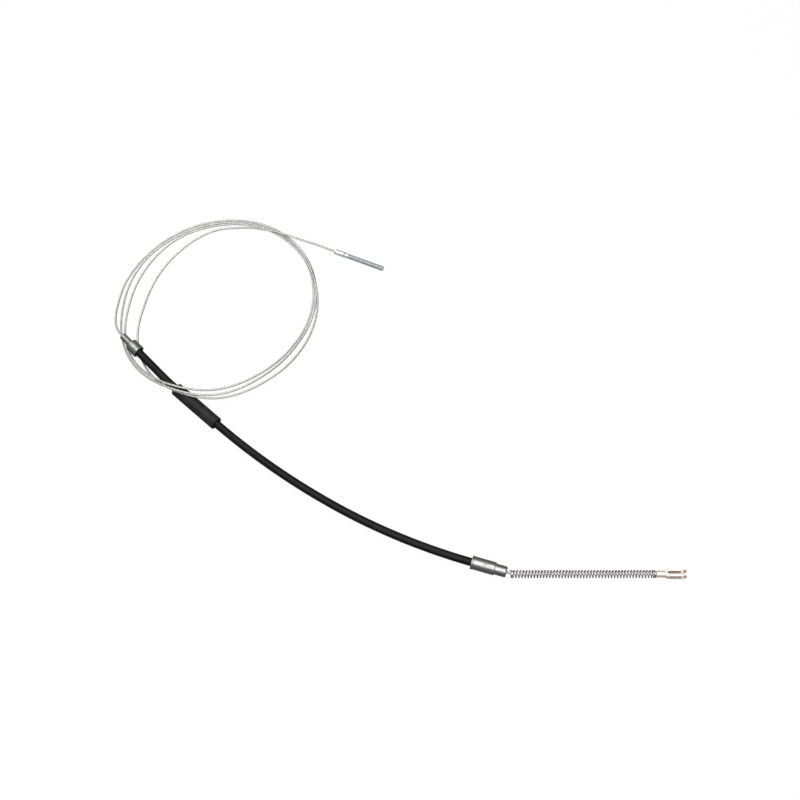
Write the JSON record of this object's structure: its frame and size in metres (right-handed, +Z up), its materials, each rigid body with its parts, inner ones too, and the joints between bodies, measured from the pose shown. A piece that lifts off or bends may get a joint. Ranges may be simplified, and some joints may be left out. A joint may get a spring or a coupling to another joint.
{
  "type": "parking brake cable",
  "caption": "Parking brake cable: threaded adjuster rod, coiled bare wire rope, sheathed conduit with ferrules and guard sleeve, return spring and folded fork with a pin hole.",
  "frame": {"origin": "bottom centre of the box round the conduit, its ferrules, the spring and the fork, on the plane the cable lies on", "axes": "+X along the return spring towards the fork, +Z up from the plane the cable lies on"},
  "size_m": [0.6303, 0.4506, 0.0206],
  "materials": {
    "rod_zinc": "bluish zinc plate",
    "rope_steel": "stranded bright steel wire",
    "ferrule_steel": "plain plated steel, satin",
    "jacket_plastic": "black, satin",
    "spiral_steel": "flat wound wire",
    "liner_plastic": "natural",
    "sleeve_rubber": "charcoal, soft sheen",
    "spring_steel": "bright zinc plate",
    "fork_zinc": "zinc plate with a faint warm tint"
  },
  "bodies": {
    "conduit_assembly": {"adjuster_rod": "rod_zinc", "cable_coil": "rope_steel", "cable_core": "rope_steel", "cable_rear": "rope_steel", "front_ferrule": "ferrule_steel", "conduit_jacket": "jacket_plastic", "conduit_spiral": "spiral_steel", "conduit_liner": "liner_plastic", "guard_sleeve": "sleeve_rubber", "rear_ferrule": "ferrule_steel", "return_spring": "spring_steel"},
    "brake_fork": {"fork": "fork_zinc"}
  },
  "joints": [
    {"name": "fork_slide", "type": "slide", "parent": "conduit_assembly", "child": "brake_fork", "axis": [1, 0, 0], "range_m": [-0.03, 0], "stiffness_N_per_m": 2000, "deforming": ["return_spring", "cable_rear"]}
  ]
}
